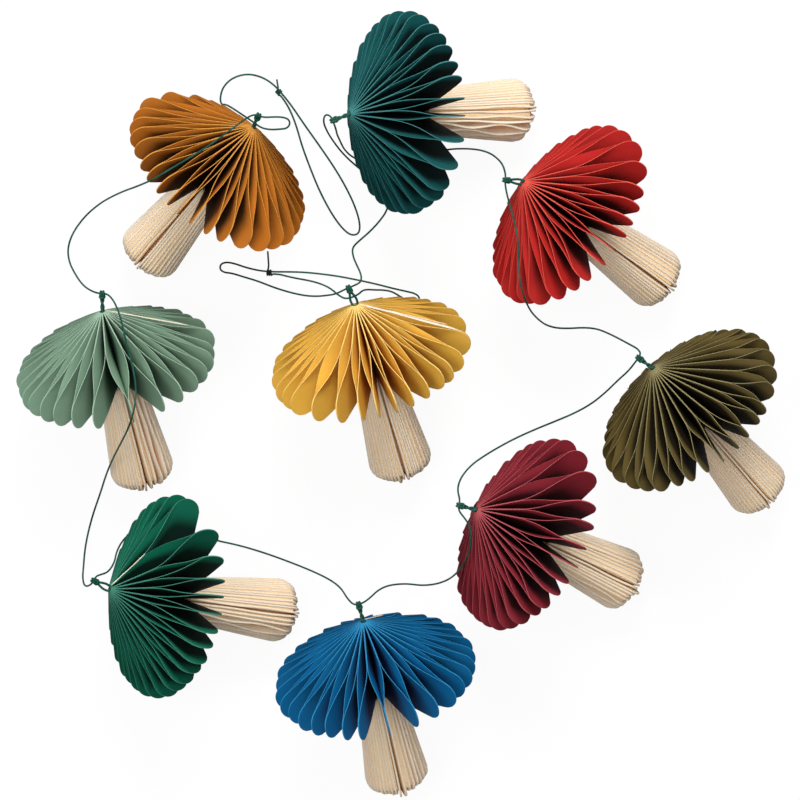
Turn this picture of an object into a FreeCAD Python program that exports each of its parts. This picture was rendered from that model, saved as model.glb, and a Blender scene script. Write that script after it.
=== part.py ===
"""Honeycomb paper garland: nine paper mushrooms on one waxed cord, laid out on a table.

Frame: millimetres, +Z up, the table at Z = 0, the origin in the middle of the mushrooms' footprint.
Each mushroom lies on its side, on the rim of its cap and the foot of its stem, so its tip is raised.
A cap or a stem is a stack of glued sheets that was opened into a full turn. It is one solid: a
slim spine with one leaf for each glued pair of sheets, and the open cells between the leaves.
"""
import FreeCAD, Part
import math
import os
import Sketcher

V = FreeCAD.Vector
UP = V(0, 0, 1)

# Driving dimensions: alias, value in mm (or a count), what it is.
SIZES = [
    ("cap_radius", 57.0, "cap, from its axis to the leaf tips"),
    ("cap_drop", 37.0, "from the cap's tip down to the middle of the round leaf tips"),
    ("cap_round", 8.4, "radius of a leaf tip of the cap"),
    ("cap_leaves", 32, "glued pairs of sheets round the cap"),
    ("stem_length", 64.6, "from the cap's underside to the foot"),
    ("stem_top", 12.0, "stem radius where it meets the cap"),
    ("stem_foot", 18.5, "stem radius at its foot"),
    ("stem_round", 6.7, "radius of a leaf corner at the foot"),
    ("stem_leaves", 30, "glued pairs of sheets round the stem"),
    ("leaf_thick", 1.0, "a glued pair of sheets, nearly pressed flat"),
    ("spine_radius", 6.5, "where the sheets stand so close that they are one mass"),
    ("leaf_seat", 0.8, "how deep a leaf is set into the spine"),
    ("socket_depth", 2.5, "hollow at the cap's tip, where the hanger comes out"),
    ("socket_room", 1.5, "gap beside the hanger's two strands in that hollow"),
    ("cord_size", 1.0, "diameter of the waxed cord"),
    ("eye_gap", 1.4, "free width inside a hanger's loop"),
    ("hanger_length", 10.6, "from a hanger's root to the middle of its eye"),
    ("root_gap", 1.0, "from the hollow's floor up to a hanger's root"),
    ("hitch_run", 3.5, "straight cord on each side of a hanger"),
    ("knot_run", 2.1, "straight cord on each side of an end knot"),
    ("knot_wall", 0.65, "cord wrapped round the two strands in an end knot"),
    ("knot_length", 3.6, "end knot, along the cord"),
    ("knot_lift", 0.1, "gap between an end knot and the table"),
    ("strand_gap", 0.3, "between the two strands in an end knot"),
    ("knot_room", 0.15, "gap round the strand that runs on through an end knot"),
    ("tail_gap", 0.25, "from that strand up to the cord's cut end"),
]

# Each mushroom: its tip's X and Y, the heading from its tip to its foot, then the heading and the
# rise of its hanger. Headings are degrees anticlockwise from +X, and a rise is degrees up.
MUSHROOMS = {
    "teal": (-29.6, 160.5, 2.5, -159, 12),
    "red": (66.4, 123.5, -35, 173, 12),
    "olive": (138.1, 20.9, -48, 144, 12),
    "burgundy": (40.5, -57.4, -26, 165, 12),
    "yellow": (-25.7, 56.2, -74, 112, 12),
    "blue": (-21.3, -118.6, -78, 105, 12),
    "dark_green": (-161.9, -101.5, -8, 152, 12),
    "sage": (-165.2, 52.4, -77, 91, 12),
    "ochre": (-80.9, 153.8, -131, 66, 48),
}

# Each end knot: its middle's X and Y, its heading away from the end loop, then the heading of the
# cord's cut end and its reach from the middle of the knot.
KNOTS = {
    "end_knot_a": (-68.7, 175.2, 130.4, 99.5, 7.0),
    "end_knot_b": (-74.1, 74.0, 177.5, 94.0, 12.0),
}

# The cord's route between its two end knots: points, and its runs through the hangers and knots. A
# run is a mushroom or a knot, +1 or -1 for the way through, and, for a mushroom, how far from the
# hanger's root if it isn't at its eye.
ROUTE = [
    # loop A, from its knot
    (-65.7, 170.6, 1.7), (-62.2, 164.6, 0.9), (-58.9, 156.2, 0.6), (-55.8, 145, 0.6),
    (-51, 132.1, 0.6), (-46, 119.8, 0.6), (-39.5, 107.5, 0.6), (-33.7, 99.3, 0.6), (-28.6, 94.9, 0.6),
    (-23.9, 95.6, 0.6), (-23.2, 101, 0.6), (-25.3, 109.1, 0.6), (-29.7, 119.2, 0.6),
    (-36.7, 131.5, 0.6), (-45.7, 144.7, 0.6), (-54.7, 157.3, 0.6), (-61.1, 166.8, 1.1),
    ("end_knot_a", +1),
    # from the knot to ochre
    (-77.3, 183.3, 0.9), (-86, 185.6, 0.6), (-94.7, 183.3, 0.6), (-100.1, 178, 0.6),
    (-101.7, 171.8, 0.6), (-100.9, 166.9, 2.3), (-97.8, 168.6, 10.5), (-91.9, 168.1, 24),
    (-85.6, 163.2, 39), (-80.3, 158.9, 51), (-76, 154.6, 62), (-71.2, 152.4, 71), (-66.7, 152.2, 75.5),
    (-63.1, 152.9, 76.4), (-62.4, 155.9, 76.9), (-65.9, 157.8, 76.6), (-70.5, 158.4, 76.3),
    ("ochre", -1),
    # over the ochre cap
    (-87.3, 156.5, 80), (-94.9, 150.6, 82.5), (-105.2, 142.7, 89), (-116, 135.7, 95),
    (-125.7, 129.8, 100), (-135.6, 123.8, 99), (-144.8, 120.2, 88), (-153.2, 118.1, 66),
    (-161.4, 115.5, 38), (-168.9, 112.2, 14), (-177.2, 105.8, 1.6), (-184, 96.8, 0.6),
    (-187.1, 87.9, 0.6), (-186.1, 80, 3), (-182.5, 73.6, 17), (-178, 67.7, 38), (-173.6, 64.1, 58),
    ("sage", +1),
    # over the sage cap
    (-159, 58.1, 73.5), (-156.1, 52.3, 76.5), (-153.8, 45.1, 79), (-151.5, 34.6, 84.5),
    (-148.5, 24.7, 91), (-145.8, 13.7, 97.5), (-145.4, 4.4, 103), (-146.7, -4.4, 103.5),
    (-149.7, -12.6, 96), (-153.9, -19.8, 78), (-158.9, -27.7, 52), (-164.1, -37.3, 25),
    (-168.6, -49.8, 7), (-172.8, -61.1, 1.2), (-175.9, -72.8, 0.6), (-177.3, -82.3, 6),
    (-177.1, -90.2, 26), (-176.9, -95.9, 46), (-175.1, -100.5, 62),
    ("dark_green", +1),
    (-164.9, -88.9, 62), (-163.7, -83.8, 44), (-163.5, -78.5, 26), (-162.4, -72.7, 10),
    (-158.7, -67.8, 2), (-151, -64.4, 0.6), (-138.1, -65, 0.6), (-121.3, -70, 0.6),
    (-105.6, -75.6, 0.6), (-91.6, -78.4, 0.6), (-76.5, -82.9, 0.6), (-62.5, -88, 0.6),
    (-50.1, -92.9, 4), (-39.9, -97.4, 18), (-33.6, -101.6, 40), (-30.2, -106.7, 60),
    ("blue", +1),
    (-17.2, -106.3, 62), (-13.6, -103.1, 46.5), (-9.2, -101, 30), (-3.7, -100.1, 15), (3.6, -100, 6),
    (11.4, -101.1, 4.5), (20.3, -99.9, 16), (28, -96.1, 36), (33.4, -89.6, 56), (36.9, -82.8, 66),
    (38.5, -75, 68), (37.7, -66.7, 68.5), (34.7, -62.3, 69.5),
    ("burgundy", +1),
    (30.6, -46.4, 64), (32.9, -39.9, 50), (38.6, -33.4, 34), (45.9, -28.5, 20), (54.4, -23.5, 9),
    (64, -18.5, 2), (75.2, -13.5, 0.6), (86.4, -9, 0.6), (97.1, -4.5, 1.5), (106.4, 0.8, 10),
    (113.8, 7.2, 26), (120, 13.8, 44.5), (125.3, 18.8, 61),
    ("olive", +1),
    (130.5, 32.8, 64), (126.2, 36, 50), (120.8, 37.8, 34), (114.6, 40.7, 18), (108.7, 42.7, 7),
    (101.5, 43.3, 2), (93.7, 42.8, 0.6), (86.4, 43, 3), (80.6, 44.6, 13), (76.7, 47, 29),
    (73.9, 49.3, 45), (71.5, 51.6, 60.5), (68.8, 55.9, 75.2), (66.2, 62.7, 78.6), (64.6, 71, 78),
    (64.4, 81.5, 77), (64.1, 92, 74.5), (61.9, 102.5, 72), (59.2, 111.3, 71),
    ("red", +1),
    (55.9, 132.7, 66), (52.2, 137.2, 54), (47.7, 140.4, 40), (42, 142.3, 25), (35.4, 143.2, 11),
    (27.1, 143.2, 3), (15.9, 141.3, 0.6), (3.6, 138.8, 0.6), (-9.3, 136.9, 0.6), (-19.4, 136, 0.6),
    (-27.2, 138.2, 3), (-32.1, 142.5, 16), (-34.2, 146.7, 34), (-35.8, 149.8, 50), (-36.1, 151.6, 62),
    ("teal", +1),
    (-42.3, 160.6, 64), (-43.5, 156.6, 52.5), (-41.1, 151.2, 40), (-37.6, 146.1, 28),
    (-33.3, 140.8, 16.5), (-28, 135.8, 7), (-22.2, 131.2, 2), (-16, 125.9, 0.6), (-10.4, 120.3, 0.6),
    (-7.1, 114.7, 0.6), (-8.2, 108.6, 0.6), (-12.7, 102.4, 0.6), (-18.3, 96.5, 0.6),
    (-23.9, 91.8, 0.6), (-27.8, 87.9, 0.8), (-27.1, 82.8, 2.8), (-25.2, 78.4, 12.5), (-23.2, 74.2, 29),
    (-22.2, 70.7, 45), (-22.7, 67.7, 59),
    ("yellow", -1),
    (-36.2, 61.3, 62), (-41.4, 60.7, 46), (-47.1, 60.4, 29), (-53.4, 60.9, 14), (-61.3, 62.6, 4),
    (-70.9, 65.5, 0.6), (-80.4, 69.3, 0.6), (-88.2, 71.6, 0.6), (-95.2, 74, 0.6), (-99.4, 75, 0.6),
    (-101.2, 77.2, 0.6), (-98.6, 79.1, 0.6), (-93.6, 78.7, 0.6), (-86.6, 76.7, 0.8),
    ("end_knot_b", -1),
    # loop B
    (-63, 74.5, 1.1), (-54.7, 74.3, 0.6), (-44.6, 73.3, 0.6), (-34.5, 71.9, 0.6), (-24.4, 69.9, 0.6),
    (-14.3, 67.7, 0.6), (-4.8, 65.2, 0.6), (3, 63.3, 0.6), (8.3, 61.9, 0.6), (9.2, 59, 0.6),
    (5.5, 57.9, 0.6), (0.2, 60.2, 3), (-5.1, 63.3, 12), (-10.1, 64, 27), (-14.8, 63.8, 42),
    (-18.9, 63.9, 56), (-21.7, 63.2, 65),
    ("yellow", -1, 5.0),
    (-34.8, 60.4, 69.5), (-38.4, 63.7, 65), (-42.4, 66.1, 53), (-47.5, 68.1, 38), (-52.7, 69.5, 22),
    (-58.2, 70.6, 10), (-64.4, 72, 3.6), (-68.6, 73.2, 1.9),
]


def fail(message):
    raise RuntimeError(message)


# --- document and sheet ---------------------------------------------------------------------

doc = FreeCAD.newDocument("honeycomb_paper_garland")
sheet = doc.addObject("Spreadsheet::Sheet", "sizes")
for row, (alias, value, meaning) in enumerate(SIZES, start=1):
    sheet.set(f"A{row}", meaning)
    sheet.set(f"B{row}", str(value))
    sheet.setAlias(f"B{row}", alias)
doc.recompute()


def size(alias):
    return float(getattr(sheet, alias))


CAP_DEPTH = "(sizes.cap_drop + sizes.cap_round)"
STEM_END = f"({CAP_DEPTH} + sizes.stem_length)"
TIP_REACH = "(sizes.cap_radius - sizes.cap_round)"
CAP_SLOPE = (
    f"(atan(sizes.cap_drop / {TIP_REACH})"
    f" - asin(sizes.cap_round / sqrt(sizes.cap_drop^2 + {TIP_REACH}^2)))"
)
EYE_RADIUS = "((sizes.eye_gap + sizes.cord_size) / 2)"
SOCKET_RADIUS = "(sizes.eye_gap / 2 + sizes.cord_size + sizes.socket_room)"
LEAF_ROOT = "(sizes.spine_radius - sizes.leaf_seat)"
STRAND_PITCH = "(sizes.cord_size + sizes.strand_gap)"
KNOT_RADIUS = f"(({STRAND_PITCH} + sizes.cord_size) / 2 + sizes.knot_wall)"


# --- where things lie -----------------------------------------------------------------------

def heading(degrees, rise=0.0):
    """A unit vector that points along a heading, raised by an angle."""
    turn, tilt = math.radians(degrees), math.radians(rise)
    return V(math.cos(tilt) * math.cos(turn), math.cos(tilt) * math.sin(turn), math.sin(tilt))


def lying():
    """How far a mushroom's axis dips, in degrees, and the height of its tip, on rim and foot."""
    along = size("stem_length") + size("cap_round") - size("stem_round")
    reach = size("cap_radius") - size("cap_round")
    inward = reach - (size("stem_foot") - size("stem_round"))
    rounds = size("cap_round") - size("stem_round")
    dip = math.atan2(inward, along) + math.asin(rounds / math.hypot(along, inward))
    height = size("cap_drop") * math.sin(dip) + reach * math.cos(dip) + size("cap_round")
    return math.degrees(dip), height


DIP, TIP_HEIGHT = lying()


def axis_of(name):
    """The direction from a mushroom's tip to its foot."""
    return heading(MUSHROOMS[name][2], -DIP)


def tip_of(name):
    return V(MUSHROOMS[name][0], MUSHROOMS[name][1], TIP_HEIGHT)


def mushroom_place(name):
    """A mushroom modelled upright, tip at the origin, is laid down with one leaf straight below."""
    axis = axis_of(name)
    down = (axis * axis.dot(UP) - UP).normalize()
    return FreeCAD.Placement(tip_of(name), FreeCAD.Rotation(down, V(), -axis, "ZXY"))


def hanger_frame(name):
    """A hanger's root, its outward direction, and the direction across its two strands."""
    outward = heading(MUSHROOMS[name][3], MUSHROOMS[name][4])
    across = (UP - outward * outward.dot(UP)).normalize()
    root_depth = size("socket_depth") - size("root_gap")
    return tip_of(name) + axis_of(name) * root_depth, outward, across


def hanger_place(name):
    root, outward, across = hanger_frame(name)
    return FreeCAD.Placement(root, FreeCAD.Rotation(outward, V(), across, "ZXY"))


def run_through(name, way, distance=None):
    """The two ends of the straight run of cord that passes between a hanger's strands."""
    root, outward, across = hanger_frame(name)
    middle = root + outward * (distance or size("hanger_length"))
    half = outward.cross(across) * (way * size("hitch_run"))
    return [middle - half, middle + half]


def strand_pitch():
    return size("cord_size") + size("strand_gap")


def knot_place(name):
    x, y, turn = KNOTS[name][:3]
    radius = (strand_pitch() + size("cord_size")) / 2 + size("knot_wall")
    return FreeCAD.Placement(V(x, y, radius + size("knot_lift")), FreeCAD.Rotation(UP, turn))


def knot_end(name):
    """Where the end loop's cord stops, close to the face of its knot."""
    face = size("knot_length") / 2 + size("knot_room")
    return knot_place(name).multVec(V(-face, strand_pitch() / 2, 0))


def knot_run(name, way):
    """The two ends of the straight run of cord that passes on through an end knot."""
    half = way * (size("knot_length") / 2 + size("knot_run"))
    return [knot_place(name).multVec(V(x, -strand_pitch() / 2, 0)) for x in (-half, half)]


# --- sketches -------------------------------------------------------------------------------

def origin_part(body, role):
    return next(f for f in body.Origin.OriginFeatures if f.Role == role)


def sketch_on(body, role, name):
    sketch = body.newObject("Sketcher::SketchObject", name)
    sketch.AttachmentSupport = [(origin_part(body, role), "")]
    sketch.MapMode = "FlatFace"
    return sketch


def bind(sketch, name, constraint, expression):
    """Adds a dimension to a sketch and ties it to the sheet."""
    number = sketch.addConstraint(constraint)
    sketch.renameConstraint(number, name)
    sketch.setExpression(f"Constraints.{name}", expression)


def line(sketch, start, end):
    return sketch.addGeometry(Part.LineSegment(V(*start, 0), V(*end, 0)))


def arc(sketch, middle, radius, start, end):
    circle = Part.Circle(V(*middle, 0), UP, radius)
    return sketch.addGeometry(Part.ArcOfCircle(circle, math.radians(start), math.radians(end)))


def cap_leaf(body):
    """Half of the cap's section: a straight slope from the tip, a round end, a flat underside."""
    sketch = sketch_on(body, "XZ_Plane", "cap_leaf")
    reach, root = size("cap_radius") - size("cap_round"), size("spine_radius") - size("leaf_seat")
    drop, end_round = size("cap_drop"), size("cap_round")
    slope = line(sketch, (root, -root / 2), (reach, -drop / 2))
    end = arc(sketch, (reach, -drop), end_round, -90, 60)
    under = line(sketch, (reach, -drop - end_round), (root, -drop - end_round))
    inner = line(sketch, (root, -drop - end_round), (root, -root / 2))
    fit = Sketcher.Constraint
    sketch.addConstraint([
        fit("Tangent", slope, 2, end, 2),
        fit("Tangent", end, 1, under, 1),
        fit("Coincident", under, 2, inner, 1),
        fit("Coincident", inner, 2, slope, 1),
        fit("Horizontal", under),
        fit("Vertical", inner),
        fit("PointOnObject", -1, 1, slope),
    ])
    bind(sketch, "end_round", fit("Radius", end, end_round), "sizes.cap_round")
    bind(sketch, "reach", fit("DistanceX", -1, 1, end, 3, reach), TIP_REACH)
    bind(sketch, "drop", fit("DistanceY", end, 3, -1, 1, drop), "sizes.cap_drop")
    bind(sketch, "root", fit("DistanceX", -1, 1, inner, 1, root), LEAF_ROOT)
    return sketch


def stem_leaf(body):
    """Half of the stem's section: it widens to a foot whose corner is round."""
    sketch = sketch_on(body, "XZ_Plane", "stem_leaf")
    root, top = size("spine_radius") - size("leaf_seat"), size("stem_top")
    corner = size("stem_round")
    reach = size("stem_foot") - corner
    start = size("cap_drop") + size("cap_round")
    foot = start + size("stem_length")
    upper = line(sketch, (root, -start), (top, -start))
    side = line(sketch, (top, -start), (reach + corner, -foot + corner))
    end = arc(sketch, (reach, -foot + corner), corner, -90, 5)
    lower = line(sketch, (reach, -foot), (root, -foot))
    inner = line(sketch, (root, -foot), (root, -start))
    fit = Sketcher.Constraint
    sketch.addConstraint([
        fit("Coincident", upper, 2, side, 1),
        fit("Tangent", side, 2, end, 2),
        fit("Tangent", end, 1, lower, 1),
        fit("Coincident", lower, 2, inner, 1),
        fit("Coincident", inner, 2, upper, 1),
        fit("Horizontal", upper),
        fit("Horizontal", lower),
        fit("Vertical", inner),
    ])
    bind(sketch, "top", fit("DistanceX", -1, 1, upper, 2, top), "sizes.stem_top")
    bind(sketch, "start", fit("DistanceY", upper, 1, -1, 1, start), CAP_DEPTH)
    bind(sketch, "corner", fit("Radius", end, corner), "sizes.stem_round")
    bind(sketch, "reach", fit("DistanceX", -1, 1, end, 3, reach), "sizes.stem_foot - sizes.stem_round")
    drop = fit("DistanceY", end, 3, -1, 1, foot - corner)
    bind(sketch, "foot", drop, f"{STEM_END} - sizes.stem_round")
    bind(sketch, "root", fit("DistanceX", -1, 1, inner, 1, root), LEAF_ROOT)
    return sketch


def spine_section(body, name, shoulder, top, bottom):
    """Half of a spine's section, from expressions for its shoulder, its top and its bottom."""
    sketch = sketch_on(body, "XZ_Plane", name)
    radius = size("spine_radius")
    slope = line(sketch, (0, -1), (radius, -2))
    wall = line(sketch, (radius, -2), (radius, -40))
    floor = line(sketch, (radius, -40), (0, -40))
    middle = line(sketch, (0, -40), (0, -1))
    fit = Sketcher.Constraint
    sketch.addConstraint([
        fit("Coincident", slope, 2, wall, 1),
        fit("Coincident", wall, 2, floor, 1),
        fit("Coincident", floor, 2, middle, 1),
        fit("Coincident", middle, 2, slope, 1),
        fit("Vertical", wall),
        fit("Horizontal", floor),
        fit("PointOnObject", slope, 1, -2),
        fit("PointOnObject", floor, 2, -2),
    ])
    bind(sketch, "radius", fit("DistanceX", -1, 1, wall, 1, radius), "sizes.spine_radius")
    bind(sketch, "bottom", fit("DistanceY", floor, 2, -1, 1, 40), bottom)
    bind(sketch, "shoulder", fit("DistanceY", wall, 1, -1, 1, 2), shoulder)
    bind(sketch, "top", fit("DistanceY", slope, 1, -1, 1, 1), top)
    return sketch


# --- pieces ---------------------------------------------------------------------------------

def new_body(label, place):
    body = doc.addObject("PartDesign::Body", label)
    body.Label = label
    body.Placement = place
    return body


def honeycomb(body, spine, leaf, leaves):
    """A spine turned about the axis, and one leaf repeated all round it."""
    core = body.newObject("PartDesign::Revolution", "spine")
    core.Profile = spine
    core.ReferenceAxis = (spine, ["V_Axis"])
    core.Angle = 360
    pad = body.newObject("PartDesign::Pad", "leaf")
    pad.Profile = leaf
    pad.Midplane = True
    pad.setExpression("Length", "sizes.leaf_thick")
    doc.recompute()
    fan = body.newObject("PartDesign::PolarPattern", "fan")
    fan.Originals = [pad]
    fan.Axis = (origin_part(body, "Z_Axis"), [""])
    fan.Angle = 360
    fan.setExpression("Occurrences", leaves)
    body.Tip = fan
    doc.recompute()


def make_cap(name):
    body = new_body(f"{name}_cap", mushroom_place(name))
    shoulder = f"sizes.spine_radius * tan({CAP_SLOPE})"
    spine = spine_section(body, "cap_spine", shoulder, "0.0", CAP_DEPTH)
    honeycomb(body, spine, cap_leaf(body), "sizes.cap_leaves")
    before = body.Shape.Volume
    mouth = sketch_on(body, "XY_Plane", "socket_mouth")
    radius = size("eye_gap") / 2 + size("cord_size") + size("socket_room")
    rim = mouth.addGeometry(Part.Circle(V(), UP, radius))
    mouth.addConstraint(Sketcher.Constraint("Coincident", rim, 3, -1, 1))
    bind(mouth, "radius", Sketcher.Constraint("Radius", rim, radius), SOCKET_RADIUS)
    socket = body.newObject("PartDesign::Pocket", "socket")
    socket.Profile = mouth
    socket.setExpression("Length", "sizes.socket_depth")
    body.Tip = socket
    doc.recompute()
    if body.Shape.Volume >= before:
        fail(f"{name}_cap: the socket removed nothing")
    return body


def make_stem(name):
    body = new_body(f"{name}_stem", mushroom_place(name))
    spine = spine_section(body, "stem_spine", CAP_DEPTH, CAP_DEPTH, STEM_END)
    honeycomb(body, spine, stem_leaf(body), "sizes.stem_leaves")
    return body


def make_hanger(name):
    """A short loop of the same cord: two strands from the cap's tip, joined round its eye."""
    body = new_body(f"{name}_hanger", hanger_place(name))
    bend, reach = (size("eye_gap") + size("cord_size")) / 2, size("hanger_length")
    fit = Sketcher.Constraint
    path = sketch_on(body, "XZ_Plane", "hanger_path")
    upper = line(path, (0, bend), (reach, bend))
    eye = arc(path, (reach, 0), bend, -90, 90)
    lower = line(path, (reach, -bend), (0, -bend))
    path.addConstraint([
        fit("Tangent", upper, 2, eye, 2),
        fit("Tangent", eye, 1, lower, 1),
        fit("Horizontal", upper),
        fit("Horizontal", lower),
        fit("PointOnObject", eye, 3, -1),
        fit("PointOnObject", upper, 1, -2),
        fit("PointOnObject", lower, 2, -2),
    ])
    bind(path, "reach", fit("DistanceX", -1, 1, eye, 3, reach), "sizes.hanger_length")
    bind(path, "bend", fit("Radius", eye, bend), EYE_RADIUS)
    ring = sketch_on(body, "YZ_Plane", "cord_section")
    edge = ring.addGeometry(Part.Circle(V(0, bend, 0), UP, size("cord_size") / 2))
    ring.addConstraint(fit("PointOnObject", edge, 3, -2))
    bind(ring, "offset", fit("DistanceY", -1, 1, edge, 3, bend), EYE_RADIUS)
    bind(ring, "radius", fit("Radius", edge, size("cord_size") / 2), "sizes.cord_size / 2")
    doc.recompute()
    strand = body.newObject("PartDesign::AdditivePipe", "strand")
    strand.Profile = ring
    strand.Spine = path
    body.Tip = strand
    doc.recompute()
    return body


def cylinder(body, kind, name, radius, height):
    piece = body.newObject(f"PartDesign::{kind}Cylinder", name)
    piece.setExpression("Radius", radius)
    piece.setExpression("Height", height)
    return piece


def make_knot(name):
    """An end knot: the cord's cut end stands out of it, and the cord runs on through it."""
    turn, tail_turn, reach = KNOTS[name][2:]
    body = new_body(name, knot_place(name))
    along = FreeCAD.Rotation(V(0, 1, 0), 90)
    bead = cylinder(body, "Additive", "bead", KNOT_RADIUS, "sizes.knot_length")
    bead.Placement = FreeCAD.Placement(V(), along)
    bead.setExpression("Placement.Base.x", "-sizes.knot_length / 2")
    tail = cylinder(body, "Additive", "tail", "sizes.cord_size / 2", f"{reach}")
    aside = FreeCAD.Rotation(UP, tail_turn - turn)
    tail.Placement = FreeCAD.Placement(V(), aside * along)
    tail.setExpression("Placement.Base.z", "sizes.cord_size + sizes.tail_gap")
    room = "sizes.cord_size / 2 + sizes.knot_room"
    bore = cylinder(body, "Subtractive", "bore", room, "sizes.knot_length * 2")
    bore.Placement = FreeCAD.Placement(V(), along)
    bore.setExpression("Placement.Base.x", "-sizes.knot_length")
    bore.setExpression("Placement.Base.y", f"-{STRAND_PITCH} / 2")
    body.Tip = bore
    doc.recompute()
    return body


def cord_points():
    """The whole route: from one end knot, round its loop, past every mushroom, to the other."""
    points = [knot_end("end_knot_a")]
    for stop in ROUTE:
        if stop[0] in KNOTS:
            points += knot_run(*stop)
        elif stop[0] in MUSHROOMS:
            points += run_through(*stop)
        else:
            points.append(V(*stop))
    return points + [knot_end("end_knot_b")]


SHARE = 0.45  # of the shorter run beside a bend, taken by the bend's arc


def rounded_path(points):
    """Straight runs joined by tangent arcs, each as large as its two runs allow."""
    edges, radii, last = [], [], points[0]
    for before, corner, after in zip(points, points[1:], points[2:]):
        arriving, leaving = corner - before, after - corner
        trim = SHARE * min(arriving.Length, leaving.Length)
        arriving.normalize()
        leaving.normalize()
        half_turn = arriving.getAngle(leaving) / 2
        radius = trim / math.tan(half_turn)
        start, end = corner - arriving * trim, corner + leaving * trim
        inward = (leaving - arriving).normalize()
        crown = corner + inward * (radius / math.cos(half_turn) - radius)
        edges += [Part.LineSegment(last, start).toShape(), Part.Arc(start, crown, end).toShape()]
        radii.append(radius)
        last = end
    edges.append(Part.LineSegment(last, points[-1]).toShape())
    return Part.Wire(edges), radii


def make_cord():
    points = cord_points()
    path, radii = rounded_path(points)
    circle = Part.Circle(points[0], points[1] - points[0], size("cord_size") / 2)
    tube = path.makePipeShell([Part.Wire(circle.toShape())], True, False)
    expected = math.pi * size("cord_size") ** 2 / 4 * path.Length
    print(f"main_cord: {len(points)} points, {path.Length:.0f} mm long")
    print(f"main_cord: volume {tube.Volume:.1f} mm3, section times length {expected:.1f} mm3")
    print("main_cord: bend radii, mm:", " ".join(f"{radius:.1f}" for radius in radii))
    if abs(tube.Volume - expected) > 0.01 * expected:
        fail("main_cord: the tube's volume isn't its section times its length")
    cord = doc.addObject("Part::Feature", "main_cord")
    cord.Label = "main_cord"
    cord.Shape = tube
    return cord


# --- build, check, write --------------------------------------------------------------------

pieces = []
for mushroom in MUSHROOMS:
    pieces += [make_cap(mushroom), make_stem(mushroom), make_hanger(mushroom)]
pieces += [make_knot(name) for name in KNOTS]
pieces.append(make_cord())
doc.recompute()

for item in doc.Objects:
    if "Invalid" in item.State or "Error" in item.State:
        fail(f"{item.Label} did not build: {item.State}")
for piece in pieces:
    if piece.Shape.isNull() or not piece.Shape.isValid() or len(piece.Shape.Solids) != 1:
        fail(f"{piece.Label} is not one valid solid")

os.makedirs("parts", exist_ok=True)
for piece in pieces:
    piece.Shape.exportStep(f"parts/{piece.Label}.step")
    box = piece.Shape.optimalBoundingBox(False)
    print(f"{piece.Label}: {piece.Shape.Volume:.0f} mm3, Z {box.ZMin:.2f} to {box.ZMax:.2f}")
print(f"a mushroom's axis dips {DIP:.1f} degrees, its tip is {TIP_HEIGHT:.1f} mm up")
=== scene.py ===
# %% [markdown]
# # A honeycomb paper garland
#
# Nine paper mushrooms hang from one waxed cord. Here the garland is laid out flat on a table, so each
# mushroom lies on its side, on the rim of its cap and the foot of its stem. The mechanical model
# already holds every piece at its real size and place. This notebook gives each piece its real look
# around that model: stacks of thin sheets, glued here and there and fanned open, and a waxed cord.

# %% Load the mechanical model
import math

import bpy
import numpy as np
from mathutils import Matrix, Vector


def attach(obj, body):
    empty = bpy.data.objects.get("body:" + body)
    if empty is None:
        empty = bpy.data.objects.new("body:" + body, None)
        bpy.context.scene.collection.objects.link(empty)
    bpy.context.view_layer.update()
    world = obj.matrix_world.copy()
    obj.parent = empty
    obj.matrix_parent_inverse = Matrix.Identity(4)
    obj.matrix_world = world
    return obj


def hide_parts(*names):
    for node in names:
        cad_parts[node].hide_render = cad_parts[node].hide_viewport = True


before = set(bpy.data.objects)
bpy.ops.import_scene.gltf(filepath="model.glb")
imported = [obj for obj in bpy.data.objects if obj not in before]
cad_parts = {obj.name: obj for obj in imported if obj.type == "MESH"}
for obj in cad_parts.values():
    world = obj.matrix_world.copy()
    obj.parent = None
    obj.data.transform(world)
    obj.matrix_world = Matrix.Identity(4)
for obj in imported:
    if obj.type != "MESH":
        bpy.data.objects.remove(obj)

MM = 0.001
UP = np.array([0.0, 0.0, 1.0])
scene = bpy.context.scene
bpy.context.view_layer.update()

# %% [markdown]
# ## Names and colours
#
# The mushrooms are named for their papers. A colour is written as it looks on screen, from 0 to 255,
# and a helper turns it into the linear values that a shader works with. Each paper has three: the
# face of a sheet, the paler cut edge, and a painted shade, the darker colour painted on the face far
# inside the gap between two sheets, where it stands in for the shade there. The cream paper of the
# stems has a fourth, for the warm light that comes through it.

# %% Colours
# Painted shade: each paper's third colour is the shade painted inside the gaps between its sheets.
PAPERS = {
    "teal": ((6, 71, 72), (62, 126, 126), (0, 4, 5)),
    "red": ((183, 32, 29), (222, 84, 70), (36, 4, 4)),
    "olive": ((86, 72, 33), (138, 128, 88), (4, 3, 1)),
    "burgundy": ((126, 29, 41), (176, 80, 86), (14, 3, 6)),
    "yellow": ((237, 185, 70), (243, 205, 120), (210, 126, 40)),
    "blue": ((0, 96, 150), (42, 134, 182), (24, 20, 58)),
    "dark_green": ((0, 90, 66), (68, 133, 114), (0, 5, 4)),
    "sage": ((127, 159, 134), (153, 180, 158), (48, 72, 54)),
    "ochre": ((182, 104, 26), (212, 146, 62), (28, 10, 3)),
}
CREAM = (241, 223, 199)
CREAM_CUT = (239, 221, 197)
CREAM_PAINTED_SHADE = (250, 196, 136)
# Painted shade: the warmer, darker colour the cream takes in the gaps between a stem's ribs.
CREAM_THROUGH = (255, 236, 204)
# Partly painted shade: the stem's core is pressed paper, coloured warmer and darker than the cream as
# the shaded bottom of its gaps.
CORE_SHADE_CREAM = (234, 203, 160)
TAPE_CREAM = (240, 228, 206)
CORD_GREEN = (9, 64, 50)
CORD_BLACK = (16, 26, 22)
TABLE_LIT = (0.4, 0.4, 0.4, 1)  # the table as the garland sees it, and then as the camera sees it
TABLE_SEEN = (0.9, 0.9, 0.9, 1)
WHITE = (1, 1, 1, 1)


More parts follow.
